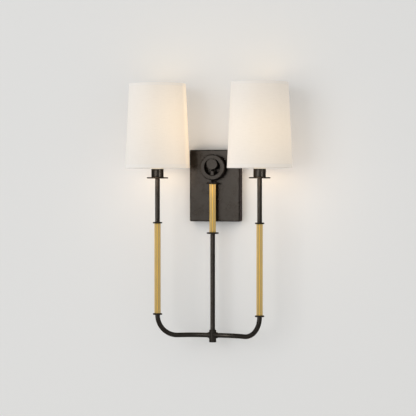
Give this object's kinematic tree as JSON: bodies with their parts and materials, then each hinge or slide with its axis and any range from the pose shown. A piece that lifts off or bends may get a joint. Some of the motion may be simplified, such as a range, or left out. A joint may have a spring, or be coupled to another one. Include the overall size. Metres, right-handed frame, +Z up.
{
  "type": "double arm wall sconce",
  "caption": "Wall light with a ring hung on a peg, a central stem, arms swept up from a hub to tapered fabric shades, and reeded metal sleeves.",
  "frame": {"origin": "centre of the wall side of the mounting bracket, on the wall plane", "axes": "+Z up along the stem, -Y out from the wall towards the viewer, +X to the viewer's right"},
  "size_m": [0.4004, 0.1612, 0.6121],
  "materials": {
    "bronze": "satin dark bronze lacquer",
    "brass": "satin, reeded",
    "zinc_steel": "zinc plated",
    "ground_green": "green dyed",
    "phenolic": "moulded",
    "shell_brass": "drawn",
    "bulb_metal": "rolled",
    "bulb_glass": "frosted",
    "linen": "plain linen, laminated",
    "shade_wire": "white enamel"
  },
  "bodies": {
    "root": {"backplate": "bronze", "mounting_bracket": "zinc_steel", "canopy_set_screws": "bronze", "ground_screw": "ground_green", "peg": "bronze", "peg_lock_nut": "zinc_steel", "hanging_ring": "bronze", "ring_nut": "bronze", "stem_nipple": "bronze", "stem_tube": "bronze", "stem_sleeve": "brass", "stem_upper_collar": "bronze", "stem_lower_collar": "bronze", "hub": "bronze", "hub_cap": "bronze", "left_arm_tube": "bronze", "left_arm_sleeve": "brass", "left_arm_lower_collar": "bronze", "left_arm_upper_collar": "bronze", "left_bobeche": "bronze", "left_socket_cup": "bronze", "left_socket_nipple": "zinc_steel", "left_socket_nut": "zinc_steel", "left_socket": "phenolic", "left_socket_shell": "shell_brass", "left_socket_contact": "shell_brass", "left_shade_nut": "phenolic", "left_bulb_base": "bulb_metal", "left_bulb_glass": "bulb_glass", "right_arm_tube": "bronze", "right_arm_sleeve": "brass", "right_arm_lower_collar": "bronze", "right_arm_upper_collar": "bronze", "right_bobeche": "bronze", "right_socket_cup": "bronze", "right_socket_nipple": "zinc_steel", "right_socket_nut": "zinc_steel", "right_socket": "phenolic", "right_socket_shell": "shell_brass", "right_socket_contact": "shell_brass", "right_shade_nut": "phenolic", "right_bulb_base": "bulb_metal", "right_bulb_glass": "bulb_glass"},
    "left_shade": {"left_shade": "linen", "left_shade_spider": "shade_wire", "left_shade_lower_hoop": "shade_wire", "left_shade_top_hoop": "shade_wire"},
    "right_shade": {"right_shade": "linen", "right_shade_spider": "shade_wire", "right_shade_lower_hoop": "shade_wire", "right_shade_top_hoop": "shade_wire"}
  },
  "joints": [
    {"name": "left_shade_turn", "type": "hinge", "parent": "root", "child": "left_shade", "pos_m": [-0.124, -0.085, 0.0564], "axis": [0, 0, 1], "continuous": true},
    {"name": "right_shade_turn", "type": "hinge", "parent": "root", "child": "right_shade", "pos_m": [0.124, -0.085, 0.0564], "axis": [0, 0, 1], "continuous": true}
  ]
}
